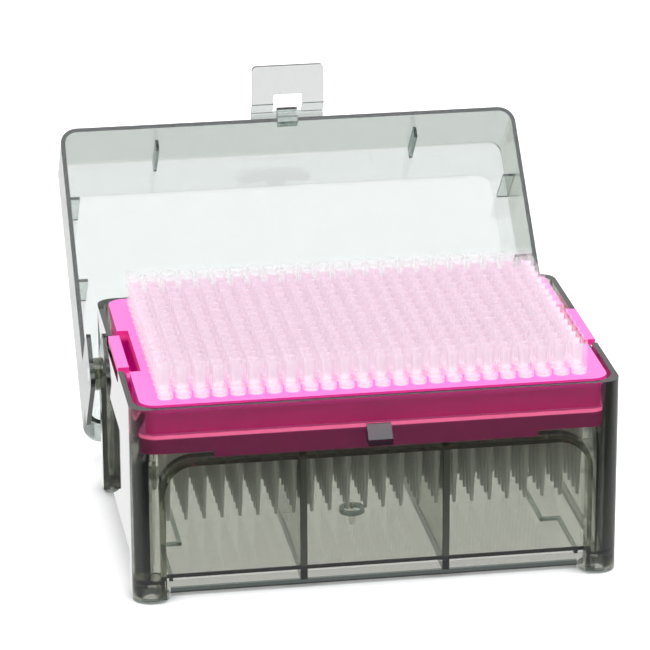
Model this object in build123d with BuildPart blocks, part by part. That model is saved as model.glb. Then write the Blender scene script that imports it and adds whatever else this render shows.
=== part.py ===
"""Hinged box of pipette tips: 384 small tips, 24 by 16, standing in a drop-in rack.

Frame: millimetres, +Z up, -Y the front with the latch. The origin is on the table, under
the middle of the base. The lid stands open, leaning back on its two pivots.
"""
import os
from math import cos, radians, sin

from build123d import *

# ---------------------------------------------------------------- driving dimensions
# tip field
columns = 24
rows = 16
pitch = 4.5

# base box
base_length = 122.4          # along X, at the rim
base_depth = 81.4            # along Y, at the rim
base_height = 51.6           # table to rim
base_wall = 1.4
base_floor = 1.1
floor_lift = 3.6             # floor's underside above the walls' lower edges
base_corner = 4.5            # plan radius of the corners outside
inner_corner = 5.5           # and inside, so that the corners are thicker than the walls
foot_height = 1.0
foot_radius = 4.75
foot_bore = 2.4              # radius of the bore in each foot
column_width = 8.2           # full-size corner column, along X
column_depth = 8.7           # the same, along Y
panel_recess = 4.0           # how far the long walls step in between the corner columns
side_recess = 2.3            # the same on the short walls
panel_radius = 7.5           # upper corners of the stepped panels
ledge_drop = 13.9            # rim down to the ledge that the rack stands on
bay_wall = 1.8               # the two walls that part the base into three bays
bay_column = 8               # columns of tips in each bay
bay_clear = 2.7              # rack's seat down to the top of the bay walls
gate_radius = 3.3            # moulding gate's ring under the middle of the floor
gate_wall = 0.7
gate_depth = 1.2
peg_radius = 0.8             # peg inside the ring, level with the feet
grip_notch_width = 26.0      # finger notch in the side walls' rims
grip_notch_drop = 3.4
floor_rib_width = 1.0
floor_rib_height = 0.8
floor_rib_inset = 9.8        # from the base's side to the low ribs under the floor
floor_rib_jog = 4.6          # how much further in their middle stretch lies
floor_rib_middle = 30.0      # length of that stretch
bay_rib_height = 2.8         # ribs under the floor below the bay walls

# rack
deck_rise = 0.4              # deck above the base's rim
deck_thick = 2.0
deck_margin_x = 2.8          # from the base's side in to the deck's edge
deck_margin_y = 2.0
deck_corner = 4.0
rack_wall = 0.9
web_inset_x = 0.6            # from the deck's edge in to the web
web_inset_y = 1.1
step_drop = 7.7              # deck top down to the step
step_thick = 1.2
skirt_drop = 12.8            # deck top down to the skirt's lower edge
rack_gap = 0.9               # between the skirt and the base's walls
seat_length = 81.0           # the deeper middle of the long skirts, which the rack stands on
seat_width = 44.0            # the same, on the short skirts
grip_slot_width = 29.4       # finger slot in each end of the deck
grip_slot_depth = 2.8
grip_tab_width = 23.0
grip_tab_depth = 2.8
grip_tab_thick = 1.6
grip_tab_gap = 0.2           # the grip tab stays this far inside the base's side

# tips
collar_space = 0.25          # from a collar to halfway to the next one
collar_height = 8.3
collar_wall = 0.4
collar_shoulder = 0.5        # from the collar's side in to the shaft
shaft_fit = 0.15             # radial clearance of the shaft in the rack
shaft_length = 6.0
tip_clear = 13.9             # the tips' ends over the floor
tip_end_radius = 0.45
tip_wall = 0.3
tip_point_wall = 0.2
lead_in = 0.2

# lid
lid_wall = 1.2
lid_gap = 1.5                # round the base
lid_overlap = 6.8            # how far the lid's rim comes down past the base's rim
lid_inner_height = 19.0      # rim to the inside of the roof
lid_corner = 4.7
roof_edge = 2.2              # rounding where the roof meets the walls
lid_rest_gap = 0.1           # ribs over the base's rim
rear_gap = 0.4               # rear wall over the base's rim
rib_reach = 3.3
rib_thick = 0.9
front_rib_x = 36.5
side_rib_offset = 25.2       # side ribs, either side of the middle one
side_rib_reach = 3.2
lid_opening = 136.4          # degrees from closed

# pivots
hinge_inset = 2.6            # from the base's rear face in to the axis
hinge_drop = 20.0            # from the base's rim down to the axis
pin_radius = 2.0
pin_fit = 0.1
boss_radius = 4.3
boss_height = 1.2
ear_width = 15.5             # along Y, from the lid's rear
ear_drop = 18.0              # from the lid's rim down
ear_corner = 2.0
hub_radius = 5.2

# latch and its catch
latch_width = 20.1
latch_thick = 1.2
latch_length = 15.0          # from its bar to its lower edge
latch_bend = 3.9             # from its bar to where the plate turns flat
latch_step = 2.2             # how far the plate lies nearer the box than the bar
latch_corner = 1.3
window_width = 8.2
latch_opening = 43.6         # degrees from closed: the plate stands upright
bar_radius = 1.1
bar_fit = 0.1
bar_offset = 2.0             # from the lid's front face out to the bar
bar_height = 1.8             # from the lid's rim up to the bar
lug_width = 5.6
lug_size = 3.8
lug_corner = 1.0
catch_width = 6.1
catch_top = 7.0              # from the base's rim down
catch_bottom = 11.6
catch_reach = 3.5
catch_root = 0.5
catch_clear = 0.2            # between the catch and the latch's window

# ---------------------------------------------------------------- values that follow
deck_top = base_height + deck_rise
ledge_level = base_height - ledge_drop
panel_top = ledge_level - base_wall
underside = foot_height + floor_lift
floor_level = underside + base_floor
half_length = base_length / 2
half_depth = base_depth / 2
bay_wall_top = ledge_level - bay_clear
bay_wall_x = bay_column * pitch / 2
grip_tab_x = half_length - grip_tab_gap - grip_tab_depth / 2
grip_wall_x = half_length - base_wall - rack_gap - rack_wall / 2
deck_length = base_length - 2 * deck_margin_x
deck_depth = base_depth - 2 * deck_margin_y
collar_radius = pitch / 2 - collar_space
collar_bore = collar_radius - collar_wall
shaft_radius = collar_radius - collar_shoulder
tip_reach = deck_top - floor_level - tip_clear
field_x = (columns - 1) * pitch / 2
field_y = (rows - 1) * pitch / 2

lid_half_length = half_length + lid_gap + lid_wall
lid_half_depth = half_depth + lid_gap + lid_wall
hinge_y = half_depth - hinge_inset
hinge_z = base_height - hinge_drop
rim_above_hinge = hinge_drop - lid_overlap
lid_middle_y = -hinge_y      # lid's middle, seen from the hinge axis

bar_y = -(hinge_y + lid_half_depth + bar_offset)
bar_z = rim_above_hinge + bar_height


# ---------------------------------------------------------------- frames of the moving pieces
def turned_plane(origin_y, origin_z, angle, height):
    """A plane across Z of a frame that is turned back about X, at a height in that frame."""
    turn = radians(angle)
    up = (0, sin(turn), cos(turn))
    origin = (0, origin_y + up[1] * height, origin_z + up[2] * height)
    return Plane(origin=origin, x_dir=(1, 0, 0), z_dir=up)


def lid_level(height):
    """Lid's own frame: origin on the hinge axis, +Z to the roof, +Y to the rear."""
    return turned_plane(hinge_y, hinge_z, lid_opening, rim_above_hinge + height)


def lid_section(x):
    """Plane across the lid's length: its x runs to the lid's rear, its y to the roof."""
    turn = radians(lid_opening)
    rearward = (0, cos(turn), -sin(turn))
    return Plane(origin=(x, hinge_y, hinge_z), x_dir=rearward, z_dir=(1, 0, 0))


def latch_section(x):
    """Plane across the latch's bar: its x runs towards the box, its y along the plate, up."""
    lid_turn = radians(lid_opening)
    total = radians(lid_opening + latch_opening)
    bar_place_y = hinge_y + bar_y * cos(lid_turn) + bar_z * sin(lid_turn)
    bar_place_z = hinge_z - bar_y * sin(lid_turn) + bar_z * cos(lid_turn)
    boxward = (0, cos(total), -sin(total))
    return Plane(origin=(x, bar_place_y, bar_place_z), x_dir=boxward, z_dir=(1, 0, 0))


def corner_points(x, y):
    return [(-x, -y), (x, -y), (-x, y), (x, y)]


os.makedirs("parts", exist_ok=True)


def save(piece, name):
    piece.part.label = name
    export_step(piece.part, f"parts/{name}.step")


# ---------------------------------------------------------------- base box
def base_form(inset, corner, bottom, top):
    """The base's outline as a solid, stepped in between its corner columns, shrunk by inset."""
    step_level = panel_top + inset
    sides = [(Plane.XZ, half_depth, base_length - 2 * column_width, panel_recess),
             (Plane.YZ, half_length, base_depth - 2 * column_depth, side_recess)]
    with BuildPart() as form:
        with BuildSketch(Plane.XY.offset(bottom)):
            RectangleRounded(base_length - 2 * inset, base_depth - 2 * inset, corner)
        extrude(amount=top - bottom)
        for plane, reach, span, recess in sides:
            for side in (-1, 1):
                with BuildSketch(plane.offset(side * (reach + 1))) as panel:
                    with Locations((0, step_level / 2)):
                        Rectangle(span + 2 * inset, step_level)
                    fillet(panel.vertices().group_by(Axis.Y)[-1], panel_radius + inset)
                extrude(amount=-side * (recess + inset + 1), mode=Mode.SUBTRACT)
    return form.part


inner_depth = base_depth - 2 * (panel_recess + base_wall)

with BuildPart() as base_box:
    add(base_form(0, base_corner, foot_height, base_height))
    add(base_form(base_wall, inner_corner, floor_level, base_height + 1), mode=Mode.SUBTRACT)
    add(base_form(base_wall, inner_corner, 0, underside), mode=Mode.SUBTRACT)

    # bay walls on the floor, each with a rib under it
    for level, height in ((floor_level, bay_wall_top - floor_level),
                          (underside, -bay_rib_height)):
        with BuildSketch(Plane.XY.offset(level)):
            with Locations((-bay_wall_x, 0), (bay_wall_x, 0)):
                Rectangle(bay_wall, inner_depth + base_wall)
        extrude(amount=height)

    # low ribs under the floor near the short sides, whose middle stretch lies further in
    rib_x = half_length - floor_rib_inset
    jog_x = rib_x - floor_rib_jog
    jog_y = floor_rib_middle / 2
    with BuildSketch(Plane.XY.offset(underside)):
        with Locations(*corner_points(rib_x, (inner_depth / 2 + jog_y) / 2)):
            Rectangle(floor_rib_width, inner_depth / 2 - jog_y + floor_rib_width)
        with Locations(*corner_points((rib_x + jog_x) / 2, jog_y)):
            Rectangle(floor_rib_jog + floor_rib_width, floor_rib_width)
        with Locations((-jog_x, 0), (jog_x, 0)):
            Rectangle(floor_rib_width, floor_rib_middle)
    extrude(amount=-floor_rib_height)

    # moulding gate: a low ring under the floor, with a peg inside it that reaches the table
    with BuildSketch(Plane.XY.offset(underside)):
        Circle(gate_radius)
        Circle(gate_radius - gate_wall, mode=Mode.SUBTRACT)
    extrude(amount=-gate_depth)
    with BuildSketch(Plane.XY):
        Circle(peg_radius)
    extrude(amount=underside)

    # feet under the corner columns: a round pad with a tube above it, and its bore
    foot_x = half_length - foot_radius
    foot_y = half_depth - foot_radius
    foot_parts = ((foot_radius, foot_height), (foot_radius - base_wall, underside))
    for radius, height in foot_parts:
        with BuildSketch(Plane.XY):
            with Locations(*corner_points(foot_x, foot_y)):
                Circle(radius)
        extrude(amount=height)
    with BuildSketch(Plane.XY):
        with Locations(*corner_points(foot_x, foot_y)):
            Circle(foot_bore)
    extrude(amount=underside, mode=Mode.SUBTRACT)

    # finger notches in the short sides' rims
    with BuildSketch(Plane.YZ.offset(-half_length - 1)) as notch:
        with Locations((0, base_height)):
            Rectangle(grip_notch_width, 2 * grip_notch_drop)
        fillet(notch.vertices().group_by(Axis.Y)[0], 1.5)
    extrude(amount=base_length + 2, mode=Mode.SUBTRACT)

    # pivots: a round boss on each short side, with the pin that the lid turns on
    pin_length = lid_gap + lid_wall
    for side in (-1, 1):
        with BuildSketch(Plane.YZ.offset(side * (half_length - base_wall))):
            with Locations((hinge_y, hinge_z)):
                Circle(boss_radius)
        extrude(amount=side * (base_wall + boss_height))
        with BuildSketch(Plane.YZ.offset(side * half_length)):
            with Locations((hinge_y, hinge_z)):
                Circle(pin_radius)
        extrude(amount=side * pin_length)

    # catch: a wedge that the latch's window drops over
    with BuildSketch(Plane.YZ.offset(-catch_width / 2)):
        with BuildLine():
            front = -half_depth
            top = base_height - catch_top
            bottom = base_height - catch_bottom
            Polyline((front + base_wall / 2, top), (front - catch_root, top),
                     (front - catch_reach, bottom + 1.6), (front - catch_reach, bottom),
                     (front + base_wall / 2, bottom), close=True)
        make_face()
    extrude(amount=catch_width)
save(base_box, "base_box")


# ---------------------------------------------------------------- rack
hole_radius = shaft_radius + shaft_fit
skirt_length = base_length - 2 * (base_wall + rack_gap)
skirt_depth = base_depth - 2 * (base_wall + rack_gap)
web_outline = (deck_length - 2 * web_inset_x, deck_depth - 2 * web_inset_y, deck_corner - 1)
skirt_outline = (skirt_length, skirt_depth, inner_corner - rack_gap)
step_level = deck_top - step_drop


def rack_ring(outer, inner, bottom, top):
    """Flat ring between two rounded rectangles, each (length, depth, corner), with a height."""
    with BuildPart() as ring:
        with BuildSketch(Plane.XY.offset(bottom)):
            RectangleRounded(*outer)
            RectangleRounded(*inner, mode=Mode.SUBTRACT)
        extrude(amount=top - bottom)
    return ring.part


def shrunk(outline, amount):
    """A rounded rectangle's (length, depth, corner), drawn in by an amount all round."""
    length, depth, corner = outline
    return (length - 2 * amount, depth - 2 * amount, corner - amount)


with BuildPart() as tip_rack:
    with BuildSketch(Plane.XY.offset(deck_top - deck_thick)):
        RectangleRounded(deck_length, deck_depth, deck_corner)
    extrude(amount=deck_thick)
    web_inner = shrunk(web_outline, rack_wall)
    add(rack_ring(web_outline, web_inner, step_level - step_thick, deck_top - deck_thick))
    add(rack_ring(skirt_outline, web_inner, step_level - step_thick, step_level))
    skirt_inner = shrunk(skirt_outline, step_thick)
    add(rack_ring(skirt_outline, skirt_inner, deck_top - skirt_drop, step_level))
    # deeper middles of the skirts, which stand on the base's ledge
    for plane, reach, span in ((Plane.XZ, skirt_depth / 2, seat_length),
                               (Plane.YZ, skirt_length / 2, seat_width)):
        for side in (-1, 1):
            with BuildSketch(plane.offset(side * reach)):
                with Locations((0, (ledge_level + step_level) / 2)):
                    Rectangle(span, step_level - ledge_level)
            extrude(amount=-side * step_thick)
    # finger slots in the deck's ends, walled and floored, and the grip tab outside each
    block_width = grip_slot_depth + rack_wall - web_inset_x
    block_x = deck_length / 2 - web_inset_x - block_width / 2
    block_bottom = step_level - step_thick
    with BuildSketch(Plane.XY.offset(block_bottom)):
        with Locations((-block_x, 0), (block_x, 0)):
            Rectangle(block_width, grip_slot_width + 2 * rack_wall)
    extrude(amount=deck_top - deck_thick - block_bottom)
    with BuildSketch(Plane.XY.offset(deck_top)):
        with Locations((-deck_length / 2, 0), (deck_length / 2, 0)):
            Rectangle(2 * grip_slot_depth, grip_slot_width)
    extrude(amount=-step_drop, mode=Mode.SUBTRACT)
    with BuildSketch(Plane.XY.offset(step_level)):
        with Locations((-grip_wall_x, 0), (grip_wall_x, 0)):
            Rectangle(rack_wall, grip_slot_width)
    extrude(amount=deck_top - grip_tab_thick - step_level)
    with BuildSketch(Plane.XY.offset(deck_top - grip_tab_thick)):
        with Locations((-grip_tab_x, 0), (grip_tab_x, 0)):
            Rectangle(grip_tab_depth, grip_tab_width)
    extrude(amount=grip_tab_thick)
    with BuildSketch(Plane.XY.offset(deck_top)):
        with GridLocations(pitch, pitch, columns, rows):
            Circle(hole_radius)
    extrude(amount=-deck_thick, mode=Mode.SUBTRACT)
save(tip_rack, "tip_rack")


# ---------------------------------------------------------------- tips, one row a node
def tip_at(x, y):
    """One hollow tip standing in the deck: collar, shaft and fine point."""
    end = deck_top - tip_reach
    shaft_end = deck_top - shaft_length
    with BuildPart() as tip:
        with BuildSketch(Plane.XZ.offset(-y)):
            with BuildLine():
                Polyline((x + collar_bore + lead_in, deck_top + collar_height),
                         (x + collar_radius, deck_top + collar_height),
                         (x + collar_radius, deck_top),
                         (x + shaft_radius, deck_top),
                         (x + shaft_radius, shaft_end),
                         (x + tip_end_radius, end),
                         (x + tip_end_radius - tip_point_wall, end),
                         (x + shaft_radius - tip_wall, shaft_end),
                         (x + shaft_radius - tip_wall, deck_top),
                         (x + collar_bore, deck_top + 1),
                         (x + collar_bore, deck_top + collar_height - 1), close=True)
            make_face()
        revolve(axis=Axis((x, y, 0), (0, 0, 1)))
    return tip.part


for row in range(rows):
    with BuildPart() as tip_row:
        for column in range(columns):
            add(tip_at(column * pitch - field_x, row * pitch - field_y))
    save(tip_row, f"tip_row_{'abcdefghijklmnopqrstuvwxyz'[row]}")


# ---------------------------------------------------------------- lid
lid_length = 2 * lid_half_length
lid_depth = 2 * lid_half_depth
lid_rear = lid_half_depth - hinge_y
lid_front = -lid_half_depth - hinge_y
rest_height = lid_overlap + lid_rest_gap
rear_height = lid_overlap + rear_gap
side_rib_x = lid_half_length - lid_wall - side_rib_reach / 2
rib_root = 0.5               # how far a rib is sunk into the wall it stands on


def lid_rib(x, y, reach_x, reach_y, height):
    """An upright rib inside the lid, from a height above its rim up into the roof."""
    with BuildPart() as rib:
        with BuildSketch(lid_level(height)):
            with Locations((x, y)):
                Rectangle(reach_x, reach_y)
        extrude(amount=lid_inner_height - height + rib_root)
    return rib.part


with BuildPart() as lid:
    with BuildSketch(lid_level(0)):
        with Locations((0, lid_middle_y)):
            RectangleRounded(lid_length, lid_depth, lid_corner)
    extrude(amount=lid_inner_height + lid_wall)
    upward = Axis((0, 0, 0), lid_level(0).z_dir)
    fillet(lid.faces().sort_by(upward)[-1].edges(), roof_edge)
    with BuildSketch(lid_level(0)):
        with Locations((0, lid_middle_y)):
            RectangleRounded(lid_length - 2 * lid_wall, lid_depth - 2 * lid_wall,
                             lid_corner - lid_wall)
    extrude(amount=lid_inner_height, mode=Mode.SUBTRACT)

    # the rear wall starts higher, so that it passes behind the base when the lid opens
    with BuildSketch(lid_level(-1)):
        with Locations((0, lid_rear)):
            Rectangle(lid_length - 2 * lid_wall, 2 * lid_corner)
    extrude(amount=rear_height + 1, mode=Mode.SUBTRACT)

    # ribs that rest on the base's rim, and the pair at the rear that stay just clear of it
    front_rib_y = lid_front + lid_wall + (rib_reach - rib_root) / 2
    rear_rib_y = lid_rear - lid_wall - (rib_reach - rib_root) / 2
    for side in (-1, 1):
        add(lid_rib(side * front_rib_x, front_rib_y, rib_thick, rib_reach + rib_root, rest_height))
        add(lid_rib(side * front_rib_x, rear_rib_y, rib_thick, rib_reach + rib_root,
                    rear_height + deck_rise))
        wall_x = side * (side_rib_x + rib_root / 2)
        for offset in (-side_rib_offset, 0, side_rib_offset):
            height = rest_height if offset else rest_height + deck_rise
            add(lid_rib(wall_x, lid_middle_y + offset, side_rib_reach + rib_root, rib_thick,
                        height))

    # ears that hang down the base's sides to the pivots
    for side in (-1, 1):
        with BuildSketch(lid_section(side * (lid_half_length - lid_wall))) as ear:
            with Locations((lid_rear - ear_width / 2,
                            rim_above_hinge + (rear_height - ear_drop) / 2)):
                Rectangle(ear_width, ear_drop + rear_height)
            fillet(ear.vertices().group_by(Axis.Y)[0], ear_corner)
            Circle(hub_radius)
            Circle(pin_radius + pin_fit, mode=Mode.SUBTRACT)
        extrude(amount=side * lid_wall)

    # lug on the front face, with the hole that the latch's bar turns in
    with BuildSketch(lid_section(-lug_width / 2)) as lug:
        with Locations((lid_front - (lug_size - rib_root) / 2, rim_above_hinge + lug_size / 2)):
            Rectangle(lug_size + rib_root, lug_size)
        fillet(lug.vertices().group_by(Axis.X)[0], lug_corner)
    extrude(amount=lug_width)
    with BuildSketch(lid_section(-lug_width / 2)):
        with Locations((bar_y, bar_z)):
            Circle(bar_radius + bar_fit)
    extrude(amount=lug_width, mode=Mode.SUBTRACT)
save(lid, "lid")


# ---------------------------------------------------------------- latch
bar_above_rim = bar_z - rim_above_hinge
catch_below_rim = rim_above_hinge + hinge_z - (base_height - catch_bottom)
window_bottom = bar_above_rim + catch_below_rim + catch_clear

with BuildPart() as latch:
    with BuildSketch(latch_section(-latch_width / 2)):
        with BuildLine():
            half = latch_thick / 2
            Polyline((-half, bar_radius), (half, bar_radius), (half, -bar_radius),
                     (half + latch_step, -latch_bend), (half + latch_step, -latch_length),
                     (latch_step - half, -latch_length), (latch_step - half, -latch_bend),
                     (-half, -bar_radius), close=True)
        make_face()
    extrude(amount=latch_width)
    thickness_way = Axis((0, 0, 0), latch_section(0).x_dir)
    length_way = Axis((0, 0, 0), latch_section(0).y_dir)
    free_end = latch.faces().sort_by(length_way)[0]
    fillet(free_end.edges().filter_by(thickness_way), latch_corner)
    with BuildSketch(latch_section(-window_width / 2)):
        with Locations((0, (bar_radius - window_bottom) / 2)):
            Rectangle(3 * latch_step, window_bottom + bar_radius)
    extrude(amount=window_width, mode=Mode.SUBTRACT)
    with BuildSketch(latch_section(-latch_width / 2)):
        Circle(bar_radius)
    extrude(amount=latch_width)
save(latch, "latch")
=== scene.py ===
"""A hinged clear box of pipette tips: smoke base, pink rack, 384 tips, pale lid and its latch.

Metres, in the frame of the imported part: the box stands on z = 0 and its latch side faces -Y.
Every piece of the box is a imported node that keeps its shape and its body. This script gives
the nodes their finishes and sets the table, the lamps and the camera.
"""

from math import pi, radians

import bpy
from mathutils import Matrix, Vector


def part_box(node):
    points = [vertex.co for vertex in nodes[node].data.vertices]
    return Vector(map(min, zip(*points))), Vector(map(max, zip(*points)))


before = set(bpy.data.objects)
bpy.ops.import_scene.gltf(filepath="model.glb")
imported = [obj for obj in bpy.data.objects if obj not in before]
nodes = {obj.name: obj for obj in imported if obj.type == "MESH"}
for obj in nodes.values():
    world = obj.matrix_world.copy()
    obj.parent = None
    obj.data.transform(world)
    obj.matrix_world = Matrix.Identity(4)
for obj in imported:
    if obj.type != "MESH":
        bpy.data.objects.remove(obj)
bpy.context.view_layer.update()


# Base box. One clear moulding of smoke polystyrene: columns, stepped walls, floor, feet and
# catch in one. The colour is in the depth of the plastic, so thick corners, ribs and edges
# seen end-on go dark green; painted shade darkens the walls' lower band, edges and ribs further.
class Wire:
    """An output of a shader node, usable in sums, products and comparisons."""

    def __init__(self, finish, socket):
        self.finish, self.socket = finish, socket

    def __getitem__(self, name):
        return Wire(self.finish, self.socket.node.outputs[name])

    def math(self, operation, first, second=None):
        return self.finish.node("ShaderNodeMath", {"operation": operation}, first, second)

    def __add__(self, other):
        return self.math("ADD", self, other)

    def __radd__(self, other):
        return self.math("ADD", other, self)

    def __sub__(self, other):
        return self.math("SUBTRACT", self, other)

    def __rsub__(self, other):
        return self.math("SUBTRACT", other, self)

    def __mul__(self, other):
        return self.math("MULTIPLY", self, other)

    def __rmul__(self, other):
        return self.math("MULTIPLY", other, self)

    def __pow__(self, other):
        return self.math("POWER", self, other)

    def __gt__(self, other):
        return self.math("GREATER_THAN", self, other)

    def __lt__(self, other):
        return self.math("LESS_THAN", self, other)

    def __or__(self, other):
        """The greater of two masks."""
        return self.math("MAXIMUM", self, other)

    def __abs__(self):
        return self.math("ABSOLUTE", self)


class Finish:
    """The node tree of a material, or of the world."""

    def __init__(self, owner):
        owner.use_nodes = True
        self.owner = owner
        self.tree = owner.node_tree
        self.tree.nodes.clear()

    def node(self, kind, settings=None, *places, **sockets):
        """A node of a kind, its settings made first, then its sockets, by place or by name."""
        made = self.tree.nodes.new(kind)
        for name, value in (settings or {}).items():
            setattr(made, name, value)
        by_name = {name.replace("_", " "): value for name, value in sockets.items()}
        for key, value in list(enumerate(places)) + list(by_name.items()):
            if isinstance(value, Wire):
                self.tree.links.new(value.socket, made.inputs[key])
            elif value is not None:
                made.inputs[key].default_value = value
        return Wire(self, made.outputs[0] if made.outputs else None)

    def ramp(self, value, start, end, low=0.0, high=1.0):
        """Goes from low to high while a value goes from start to end, and stays there."""
        return self.node("ShaderNodeMapRange", None, value, start, end, low, high)

    def blend(self, share, first, second):
        """A colour between two colours, each of them a triple or an output of a node."""
        first, second = (shade if isinstance(shade, Wire) else (*shade, 1)
                         for shade in (first, second))
        unused = [None] * 5
        return self.node("ShaderNodeMix", {"data_type": "RGBA"}, share, *unused, first,
                         second)["Result"]

    def mixed(self, share, first, second):
        """A shader between two shaders."""
        return self.node("ShaderNodeMixShader", None, share, first, second)

    def parts(self, vector):
        """A vector's X, Y and Z, each by its name."""
        return self.node("ShaderNodeSeparateXYZ", None, vector)

    def finish(self, surface, volume=None):
        self.node("ShaderNodeOutputMaterial", None, surface, volume)
        return self.owner


black = (0.0, 0.0, 0.0)
clear = (1.0, 1.0, 1.0)
refraction = 1.5
see_through = 0.995                       # the rest is a faint film on the skin
smoothest, rougher_by = 0.01, 0.05
ripple_size, ripple_depth, ripple_strength = 0.004, 0.0002, 0.02
haze_tint, haze_density = (0.75, 1.0, 0.95), 12.0


def clear_moulding(name, tint, density, tone_and_painted_light):
    """Polished clear plastic: refracting skin, colour held in its depth, and on the skin its tone,
    painted shade and a painted glow where a piece has them.
    """
    finish = Finish(bpy.data.materials.new(name))
    place = finish.node("ShaderNodeTexCoord")["Object"]
    # The skin's colour with its painted shade, a coat, and a painted glow.
    colour, polish, glow = tone_and_painted_light(finish, place)
    ripple = finish.node("ShaderNodeTexNoise", None, Vector=place, Scale=1 / ripple_size,
                         Detail=2.0)
    skin = finish.node("ShaderNodeBump", None, Strength=ripple_strength, Distance=ripple_depth,
                       Height=ripple)
    plastic = finish.node("ShaderNodeBsdfPrincipled", None, Base_Color=colour,
                          Roughness=ripple * rougher_by + smoothest, IOR=refraction,
                          Transmission_Weight=see_through, Coat_Weight=polish,
                          Emission_Color=glow, Emission_Strength=1.0, Normal=skin)
    through = finish.node("ShaderNodeBsdfTransparent", None, (*clear, 1))
    is_shadow = finish.node("ShaderNodeLightPath")["Is Shadow Ray"]
    surface = finish.mixed(is_shadow, plastic, through)
    depth = finish.node("ShaderNodeVolumeAbsorption", None, (*tint, 1), density)
    haze = finish.node("ShaderNodeVolumeScatter", None, (*haze_tint, 1), haze_density)
    return finish.finish(surface, finish.node("ShaderNodeAddShader", None, depth, haze))


def repaint(node, material):
    """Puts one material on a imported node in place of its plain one."""
    nodes[node].data.materials.clear()
    nodes[node].data.materials.append(material)


well_side, well_front = 0.0573, 0.0351    # just inside the stepped walls
foot_side, foot_front = 0.05645, 0.03595  # the axis of a foot
foot_reach = 0.0049
below_floor = 0.00455
foot_edge = 0.0009                        # height of the painted dark edge round a foot
wall_edge = 0.0023                        # the same along the walls
peg_reach, ring_reach = 0.0015, 0.0036    # under the middle of the floor
catch_side, catch_front, catch_low = 0.0032, -0.0409, 0.0395
bay_wall_at, bay_wall_half = 0.018, 0.0009
bay_wall_low, bay_wall_top = 0.0058, 0.035
panel_back, panel_front = 0.0364, 0.0370  # either side of the long walls' outer faces
polished_side = 0.0585                    # short walls' outer faces lie further out than this
flat_on = 0.995                           # and face sideways at least this much
# Painted shade: the walls' lower band and bottom edges, and the ribs and ring under the floor.
low_band_painted_shade, edge_painted_shade = (0.62, 0.62, 0.61), (0.10, 0.12, 0.12)
rib_painted_shade, ring_painted_shade = (0.34, 0.42, 0.41), (0.20, 0.26, 0.26)
catch_blue = (0.50, 0.85, 1.0)
bay_wall_painted_glow = (0.036, 0.038, 0.028)    # a painted glow for light that the bay walls carry to their ends


def base_painted_shade_and_glow(finish, place):
    """Painted shade at the walls' lower edges and in the ribs under the floor, darker in the catch,
    and a painted glow at the ends of the bay walls.
    """
    spot = finish.parts(place)
    side, front, height = abs(spot["X"]), abs(spot["Y"]), spot["Z"]
    well = (side < well_side) * (front < well_front)
    off_foot = ((side - foot_side) ** 2.0 + (front - foot_front) ** 2.0) ** 0.5 > foot_reach
    low = height < below_floor
    wall = low * (1.0 - well * off_foot)
    edge = wall * (height < off_foot * (wall_edge - foot_edge) + foot_edge)
    off_middle = (side ** 2.0 + front ** 2.0) ** 0.5
    rib = low * well * off_foot * (off_middle > peg_reach)
    ring = rib * (off_middle < ring_reach)
    catch = (spot["Y"] < catch_front) * (side < catch_side) * (height > catch_low)
    colour = finish.blend(wall, clear, low_band_painted_shade)
    colour = finish.blend(edge, colour, edge_painted_shade)
    colour = finish.blend(rib, colour, rib_painted_shade)
    colour = finish.blend(ring, colour, ring_painted_shade)
    colour = finish.blend(catch, colour, catch_blue)
    sideways = abs(finish.parts(finish.node("ShaderNodeNewGeometry")["Normal"])["X"])
    polish = (side > polished_side) * (sideways > flat_on)
    bay_wall_end = ((abs(side - bay_wall_at) < bay_wall_half)
                    * (front > panel_back) * (front < panel_front)
                    * (height > bay_wall_low) * (height < bay_wall_top))
    return colour, polish, finish.blend(bay_wall_end, black, bay_wall_painted_glow)


smoke_tint, smoke_density = (0.50, 0.525, 0.42), 520.0
repaint("base_box", clear_moulding("smoke clear plastic", smoke_tint, smoke_density, base_painted_shade_and_glow))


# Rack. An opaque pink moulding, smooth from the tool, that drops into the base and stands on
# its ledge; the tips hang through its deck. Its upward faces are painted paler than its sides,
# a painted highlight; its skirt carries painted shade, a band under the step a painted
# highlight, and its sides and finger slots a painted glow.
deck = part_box("tip_rack")[1].z
step = deck - 0.0077                      # foot of the web, where the skirt steps out
slot_side, slot_half = 0.0540, 0.0149     # a finger slot's inner wall, and half its length
slot_shade_low, slot_shade_top = deck - 0.003, deck - 0.001
# A painted highlight band on the skirt, just under the step.
step_highlight_low, step_highlight_full = step - 0.0014, step - 0.0010
web_low = step - 0.0004
highlight_from, highlight_full = 0.2, 0.9           # how far up a face looks, for the painted highlight
pink_grain, pink_clouds = 900.0, 40.0     # to the metre
grain_strength, grain_depth = 0.01, 0.0001
rack_smoothest, rack_rougher_by = 0.35, 0.1
# The pale pinks are the rack's pink under a painted highlight.
painted_highlight_pinks = (1.0, 0.20, 0.66), (0.96, 0.18, 0.62)
web_pinks = (0.95, 0.012, 0.30), (0.90, 0.010, 0.28)
# Painted shade: the skirt's pinks are darker copies of the web's.
skirt_painted_shade_pinks = (0.46, 0.006, 0.15), (0.42, 0.005, 0.14)
step_highlight_pink = (0.95, 0.10, 0.40)
# Painted glows on the skirt, the step band, the web and in the finger slots.
skirt_painted_glow, step_highlight_glow = (0.015, 0.001, 0.012), (0.95, 0.17, 0.36)
web_painted_glows = (0.09, 0.002, 0.03), (0.05, 0.016, 0.06)
slot_painted_glow = (0.13, 0.0, 0.06)


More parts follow.
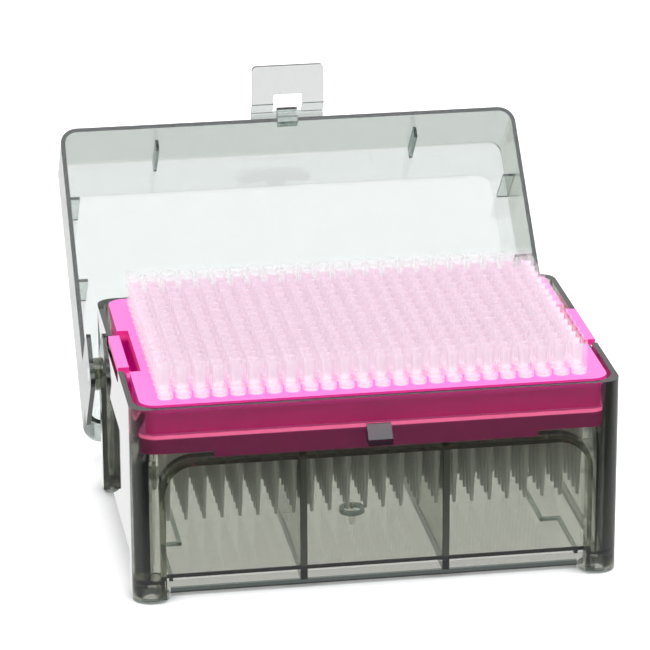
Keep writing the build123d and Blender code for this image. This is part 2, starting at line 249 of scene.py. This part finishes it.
def pink_moulding():
    """Pale from a painted highlight on the deck, deep on the web and, with painted shade, on the
    skirt, with a painted highlight band between them; painted glows on the sides and slots.
    """
    finish = Finish(bpy.data.materials.new("pink plastic"))
    place = finish.node("ShaderNodeTexCoord")["Object"]
    grain = finish.node("ShaderNodeTexNoise", None, Vector=place, Scale=pink_grain,
                        Detail=3.0)
    cloud = finish.node("ShaderNodeTexNoise", None, Vector=place, Scale=pink_clouds,
                        Detail=2.0)
    upward = finish.parts(finish.node("ShaderNodeNewGeometry")["Normal"])["Z"]
    spot = finish.parts(place)
    height = spot["Z"]
    sunk = finish.ramp(height, slot_shade_low, slot_shade_top, 1.0, 0.0)
    in_slot = sunk * (abs(spot["X"]) > slot_side) * (abs(spot["Y"]) < slot_half)
    lit = 1.0 - in_slot
    painted_highlight = finish.ramp(upward, highlight_from, highlight_full) * lit
    on_web = finish.ramp(height, web_low, step) * lit
    step_highlight = finish.ramp(height, step_highlight_low, step_highlight_full) * (1.0 - on_web) * lit
    colour = finish.blend(on_web, finish.blend(cloud, *skirt_painted_shade_pinks), finish.blend(cloud, *web_pinks))
    colour = finish.blend(step_highlight, colour, step_highlight_pink)
    colour = finish.blend(painted_highlight, colour, finish.blend(cloud, *painted_highlight_pinks))
    # Painted glow, none under the painted highlight.
    glow = finish.blend(on_web, skirt_painted_glow,
                        finish.blend(finish.ramp(height, step, deck), *web_painted_glows))
    glow = finish.blend(step_highlight, glow, step_highlight_glow)
    glow = finish.blend(in_slot, glow, slot_painted_glow)
    glow = finish.blend(painted_highlight, glow, black)
    skin = finish.node("ShaderNodeBump", None, Strength=grain_strength, Distance=grain_depth,
                       Height=grain)
    return finish.finish(finish.node("ShaderNodeBsdfPrincipled", None, Base_Color=colour,
                                     Roughness=grain * rack_rougher_by + rack_smoothest,
                                     Normal=skin, Emission_Color=glow, Emission_Strength=1.0))


repaint("tip_rack", pink_moulding())


# Tips. Thin natural polypropylene, 24 to a row; each stands on its collar in a hole of the
# deck and tapers to a fine point inside the base. Above the deck the plastic picks up pink
# light from it, and a painted pink tint and glow add to it; painted shade darkens their
# edges and the shafts below the deck, and painted highlights whiten the foot and the lip.
# Looked at through several tips, the field closes up to one pale mass.
shaft_top, collar_low = deck - 0.008, deck - 0.001
foot_top = deck + 0.0020
lip_low, lip_top, lip_painted_highlight = deck + 0.0079, deck + 0.0082, 0.2
tip_pale_painted_pink, tip_edge_painted_shade = (0.98, 0.87, 0.94), (0.83, 0.70, 0.78)
foot_painted_glint, shaft_painted_shade = (1.0, 0.97, 0.99), (0.74, 0.76, 0.72)
pink_painted_glow, foot_painted_glow = (0.90, 0.80, 0.86), (3.0, 3.0, 3.0)
tips_until_closed = 5.5
tip_refraction, tip_roughness = 1.49, 0.15
edge_width, foot_fade = 0.4, 1.4
painted_glow_strength = 0.07
veil_all_over, veil_at_edge = 0.06, 0.40
veil_on_shaft, veil_on_white, veil_on_foot = 0.15, 0.3, 0.15


def tip_plastic():
    """Clear where it faces the eye, milky at its edges, its foot and its lip; painted shade on the
    edges and the shaft, painted highlights and glow on the foot and the lip.
    """
    finish = Finish(bpy.data.materials.new("natural tip plastic"))
    path = finish.node("ShaderNodeLightPath")
    edge = finish.node("ShaderNodeLayerWeight", None, edge_width)["Facing"]
    height = finish.parts(finish.node("ShaderNodeTexCoord")["Object"])["Z"]
    shaft = finish.ramp(height, shaft_top, collar_low, 1.0, 0.0)
    foot = finish.ramp(height, deck, foot_top, 1.0, 0.0) ** foot_fade
    # white is a painted glint at the foot and a painted highlight on the lip.
    white = foot | finish.ramp(height, lip_low, lip_top, 0.0, lip_painted_highlight)
    # Painted shade at the edges.
    colour = finish.blend(edge ** 2.0, tip_pale_painted_pink, tip_edge_painted_shade)
    colour = finish.blend(white, colour, foot_painted_glint)
    # Painted shade on the shaft below the deck.
    colour = finish.blend(shaft, colour, shaft_painted_shade)
    closed = path["Transparent Depth"] > tips_until_closed
    veil = (edge ** 2.0 * (veil_at_edge + shaft * veil_on_shaft) + veil_all_over
            + white * veil_on_white + foot * veil_on_foot + closed)
    # A painted glow: pink above the deck, white at the foot where it faces the eye, none on the
    # shaft.
    glow = finish.blend(foot * (1.0 - edge), pink_painted_glow, foot_painted_glow)
    glow = finish.blend(shaft, glow, black)
    plastic = finish.node("ShaderNodeBsdfPrincipled", None, Base_Color=colour,
                          Roughness=tip_roughness, IOR=tip_refraction, Alpha=veil,
                          Emission_Color=glow, Emission_Strength=painted_glow_strength)
    through = finish.node("ShaderNodeBsdfTransparent", None, (*clear, 1))
    return finish.finish(finish.mixed(path["Is Shadow Ray"], plastic, through))


tip_finish = tip_plastic()
for row in "abcdefghijklmnop":
    repaint(f"tip_row_{row}", tip_finish)


# Lid. One clear moulding of a paler smoke plastic, with ribs inside its walls. It turns on
# the base's pins by two ears and stands open, leaning back.
lid_tint, lid_density = (0.47, 0.55, 0.52), 500.0
lid_clouds = 30.0                         # to the metre
mostly = 0.9                              # a face looks this much one way
roof_facing = tuple(max(nodes["lid"].data.polygons, key=lambda face: face.area).normal)
rib_side = 0.055                          # the long walls' ribs stand inside this
side_wall_in, side_wall_out = 0.060, 0.0632
# Painted shade on the walls, the side walls and the ribs; the walls also carry faint clouds.
wall_tones_painted_shade = (0.92, 0.94, 0.92), (0.90, 0.92, 0.89)
side_wall_painted_shade = (0.78, 0.79, 0.70)
lid_rib_painted_shade = (0.16, 0.30, 0.29)


def lid_tone_and_painted_shade(finish, place):
    """Painted shade: the walls a little darker than the roof, with faint clouds, the side walls
    darker, and the long walls' ribs darker again.
    """
    normal = finish.node("ShaderNodeTexCoord")["Normal"]
    sideways = abs(finish.parts(normal)["X"]) > mostly
    side = abs(finish.parts(place)["X"])
    rib = sideways * (side < rib_side)
    side_wall = sideways * (side > side_wall_in) * (side < side_wall_out)
    facing = finish.node("ShaderNodeVectorMath", {"operation": "DOT_PRODUCT"}, normal,
                         roof_facing)["Value"]
    cloud = finish.node("ShaderNodeTexNoise", None, Vector=place, Scale=lid_clouds, Detail=2.0)
    colour = finish.blend(abs(facing) > mostly, finish.blend(cloud, *wall_tones_painted_shade), clear)
    colour = finish.blend(side_wall, colour, side_wall_painted_shade)
    return finish.blend(rib, colour, lid_rib_painted_shade), 0.0, (*black, 1)


repaint("lid", clear_moulding("smoke clear lid plastic", lid_tint, lid_density, lid_tone_and_painted_shade))


# Latch. A small moulding of the same plastic as the lid. Its bar turns in the lid's lug, and
# its window drops over the catch.
latch_tints, latch_density = ((1.0, 1.0, 1.0), (0.97, 0.98, 0.97)), 400.0


def latch_stain(finish, place):
    """Faint clouds only."""
    cloud = finish.node("ShaderNodeTexNoise", None, Vector=place, Scale=lid_clouds, Detail=2.0)
    return finish.blend(cloud, *latch_tints), 0.0, (*black, 1)


repaint("latch", clear_moulding("smoke clear latch plastic", lid_tint, latch_density, latch_stain))


# Table. A wide white sheet, and the white room round it. Polished walls mirror a dim room in
# front and the sheet, painted dark in front; plastic looked through shows the white sheet,
# with painted dark boards beside the box and a painted shadow along its front.
table_reach = 6.0
paper_white = (0.93, 0.93, 0.93)
paper_lift, paper_lift_to_eye = 0.12, 0.45
contact_shadow_reach = 0.006                     # how far the painted contact shadow round the box spreads
board_lean = 0.16                         # the right board slants along the line of sight
# Painted dark boards beside the box, seen only through the plastic.
left_board_in, left_board_out = -0.0590, -0.0598
right_board_in, right_board_out = 0.064, 0.070
near_boards_end, near_boards_gone = 0.12, 0.16
far_boards_in, far_boards_out = 0.25, 0.5
front_shadow_in, front_shadow_out = -0.0405, -0.0425
mirror_dark, mirror_white = -0.11, -0.045  # where the painted reflection of the paper goes from dark to white
contact_shadow_slate, slate_room = (0.9, 1.0, 1.05), (0.9, 1.0, 1.1)
contact_shadow_strength, board_light = 0.03, 0.05


def plain_light(finish, colour, strength):
    return finish.node("ShaderNodeEmission", None, (*colour, 1), strength)


def white_sheet():
    """White paper with a painted contact shadow to the eye; painted boards and shadow through the
    plastic, and a painted dark front in the polish.
    """
    finish = Finish(bpy.data.materials.new("white sheet"))
    path = finish.node("ShaderNodeLightPath")
    paper = finish.node("ShaderNodeBsdfDiffuse", None, (*paper_white, 1))
    lift = finish.mixed(path["Is Camera Ray"], plain_light(finish, clear, paper_lift),
                        plain_light(finish, clear, paper_lift_to_eye))
    sheet = finish.node("ShaderNodeAddShader", None, paper, lift)
    # A painted contact shadow round the box, for the eye only.
    painted_contact_shadow = 1.0 - finish.node("ShaderNodeAmbientOcclusion", {"samples": 8},
                                Distance=contact_shadow_reach)["AO"]
    sheet = finish.mixed(path["Is Camera Ray"] * painted_contact_shadow ** 1.5, sheet,
                         plain_light(finish, contact_shadow_slate, contact_shadow_strength))
    white = plain_light(finish, clear, 1.0)
    dark = plain_light(finish, slate_room, board_light)
    place = finish.parts(finish.node("ShaderNodeNewGeometry")["Position"])
    right_board = finish.ramp(place["X"] - place["Y"] * board_lean, right_board_in,
                              right_board_out)
    left_board = finish.ramp(place["X"], left_board_out, left_board_in, 1.0, 0.0)
    near = finish.ramp(place["Y"], near_boards_end, near_boards_gone, 1.0, 0.0)
    near_boards = (left_board | right_board) * near
    far_boards = finish.ramp(abs(place["X"]), far_boards_in, far_boards_out)
    # A painted shadow along the box's front, seen only through the plastic.
    front_painted_shadow = finish.ramp(place["Y"], front_shadow_out, front_shadow_in, 1.0, 0.0)
    looked_through = finish.mixed(near_boards | far_boards | front_painted_shadow, white, dark)
    straight = 1.0 - (path["Diffuse Depth"] > 0.5)
    seen = finish.mixed(path["Is Transmission Ray"] * straight, sheet, looked_through)
    # A painted reflection: the paper, mirrored in the polish, dark in front.
    mirrored = finish.mixed(finish.ramp(place["Y"], mirror_dark, mirror_white), dark, white)
    is_mirrored = path["Is Glossy Ray"] * (1.0 - path["Is Transmission Ray"]) * straight
    return finish.finish(finish.mixed(is_mirrored, seen, mirrored))


table_mesh = bpy.data.meshes.new("table")
corners = [(-table_reach, -table_reach, 0), (table_reach, -table_reach, 0),
           (table_reach, table_reach, 0), (-table_reach, table_reach, 0)]
table_mesh.from_pydata(corners, [], [(0, 1, 2, 3)])
table_mesh.materials.append(white_sheet())
table = bpy.data.objects.new("table", table_mesh)
scene = bpy.context.scene
scene.collection.objects.link(table)

room_light = 0.78                         # what the box's matt pieces get from the room
dim_sides, dim_front = 0.9, 0.85
side_bright, side_dim = 0.35, 0.7         # how far a ray leans sideways, as a share
mirrored_dim, mirrored_bright = -0.7, 0.1  # how far back it leans, in the gloss
through_dim, through_bright = -0.1, 0.2   # and in what is looked through


def white_room():
    """White to the eye, even on matt pieces; in gloss and clear plastic, dim beside and in front."""
    room = Finish(bpy.data.worlds.new("white room"))
    bearing = room.parts(room.node("ShaderNodeTexCoord")["Generated"])
    path = room.node("ShaderNodeLightPath")
    sideways = room.ramp(abs(bearing["X"]), side_bright, side_dim, 0.0, dim_sides)
    forward = room.ramp(bearing["Y"], mirrored_dim, mirrored_bright, dim_front, 0.0)
    ahead = room.ramp(bearing["Y"], through_dim, through_bright, dim_front, 0.0)
    scattered = path["Diffuse Depth"] > 0.5
    looked_through = path["Is Transmission Ray"]
    mirrored = path["Is Glossy Ray"] * (1.0 - looked_through)
    dimness = (scattered * (1.0 - room_light)
               + (1.0 - scattered) * (looked_through * (ahead | sideways)
                                      + mirrored * (forward | sideways)))
    bright = room.node("ShaderNodeBackground", None, (*clear, 1), 1.0)
    dark = room.node("ShaderNodeBackground", None, (*slate_room, 1), 0.0)
    room.node("ShaderNodeOutputWorld", None, room.mixed(dimness, bright, dark))
    return room.owner


scene.world = white_room()


# Lamps. A large soft panel overhead, a little to the front, and a smaller one behind on the
# right that lays the shadow forward.
lamp_white = (0.95, 0.98, 1.0)


def soft_panel(name, place, aim, size, radiance):
    """A square panel of a radiance; the lamp's power follows from its area."""
    lamp = bpy.data.lights.new(name, "AREA")
    lamp.shape = "SQUARE"
    lamp.size = size
    lamp.energy = radiance * pi * size ** 2
    lamp.color = lamp_white
    panel = bpy.data.objects.new(name, lamp)
    panel.location = place
    panel.rotation_euler = (Vector(aim) - Vector(place)).to_track_quat("-Z", "Y").to_euler()
    scene.collection.objects.link(panel)


soft_panel("overhead panel", (0.2, -0.42, 1.35), (0, 0.05, 0.05), 1.0, 3.5)
soft_panel("rear panel", (0.7, 0.8, 1.0), (0, 0, 0.03), 0.6, 0.5)


# Camera. A long lens, over the front and a little to the left, aimed at the tips' collars
# near the middle of the rack.
lens_mm = 208.8
azimuth = radians(9.034)
elevation = radians(20.300)
roll = radians(-0.246)
distance = 0.96053
aim = Vector((-0.00642, 0.00215, 0.05501))

camera = bpy.data.objects.new("camera", bpy.data.cameras.new("camera"))
camera.data.lens = lens_mm
camera.data.sensor_width = 36.0
camera.data.clip_end = 50.0
turn = (Matrix.Rotation(-azimuth, 4, "Z") @ Matrix.Rotation(pi / 2 - elevation, 4, "X")
        @ Matrix.Rotation(roll, 4, "Z"))
camera.matrix_world = Matrix.Translation(aim) @ turn @ Matrix.Translation((0, 0, distance))
scene.collection.objects.link(camera)
scene.camera = camera
scene.view_settings.view_transform = "Standard"
